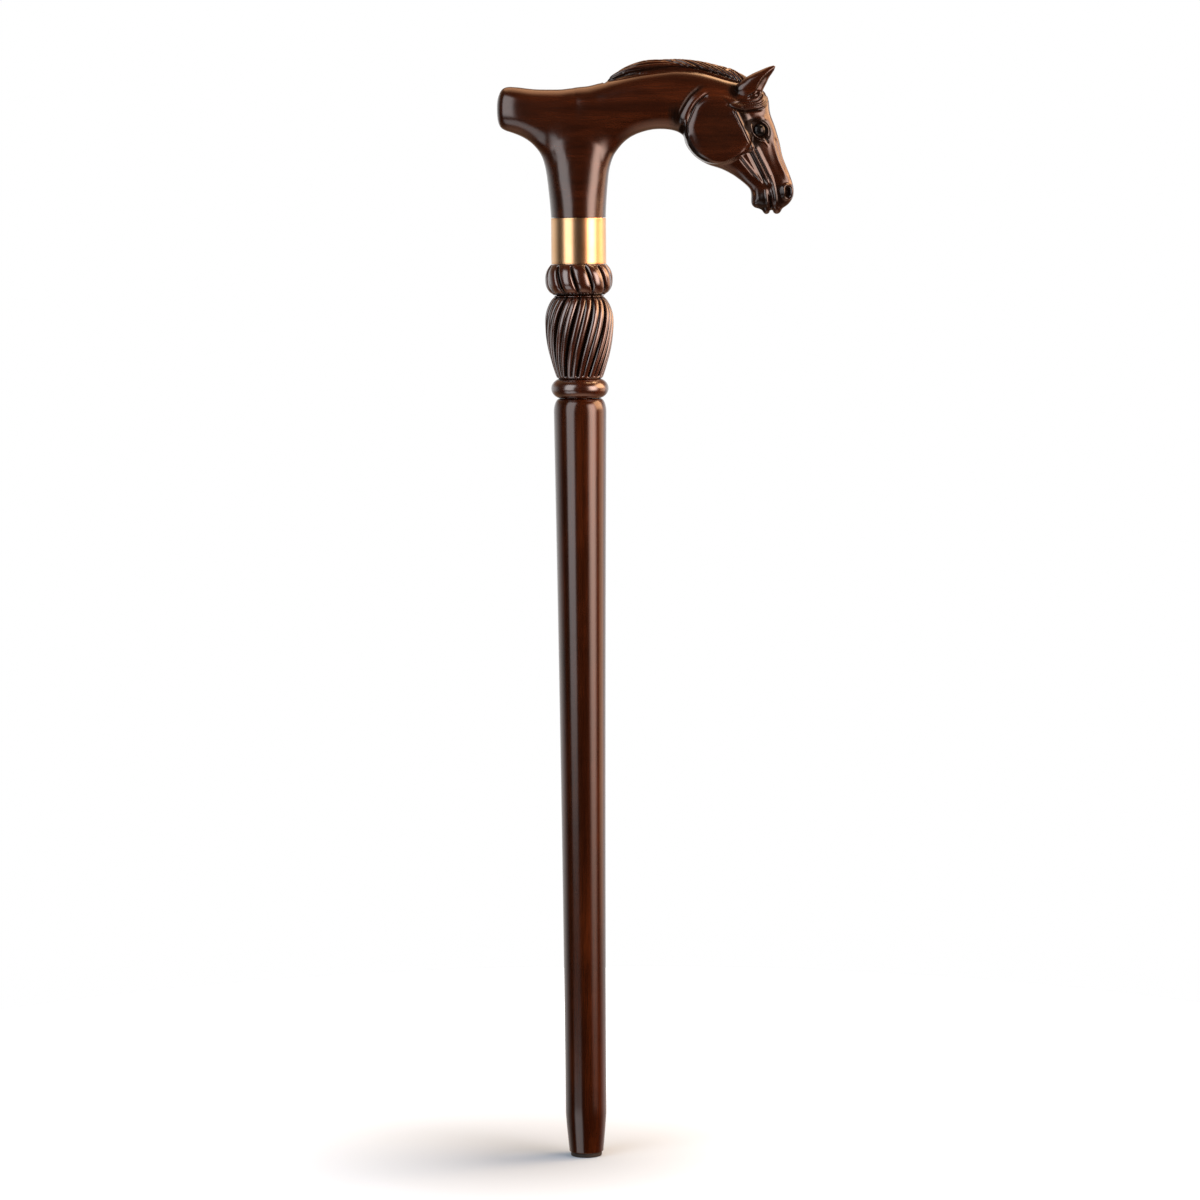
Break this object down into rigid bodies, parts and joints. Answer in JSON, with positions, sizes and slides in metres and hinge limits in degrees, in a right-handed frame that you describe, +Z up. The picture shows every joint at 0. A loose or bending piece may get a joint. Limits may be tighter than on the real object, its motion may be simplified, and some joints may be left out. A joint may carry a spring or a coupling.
{
  "type": "carved walking cane",
  "caption": "Wooden walking cane with a horse-head grip, brass collar, spiral-carved bead and vase, and a tapered shaft on a thin rubber sole.",
  "frame": {"origin": "centre of the sole's flat face, on the floor under the shaft's axis", "axes": "+Z up along the shaft, +X towards the horse's muzzle, +Y to the horse's left"},
  "size_m": [0.2293, 0.0534, 0.8586],
  "materials": {
    "handle_wood": "dark reddish-brown, gloss varnish, darker stain in the carving",
    "eye_glass": "black, polished",
    "collar_brass": "satin polished",
    "stud_steel": "plain zinc-plated",
    "carved_wood": "dark reddish-brown, gloss varnish, nearly black stain in the grooves",
    "shaft_wood": "dark reddish-brown, gloss varnish, fine grain along the length",
    "sole_rubber": "matt, very dark brown"
  },
  "bodies": {
    "root": {"handle": "handle_wood", "left_eye": "eye_glass", "right_eye": "eye_glass", "collar": "collar_brass", "joining_stud": "stud_steel", "carved_section": "carved_wood", "shaft": "shaft_wood", "foot_pad": "sole_rubber"}
  },
  "joints": []
}
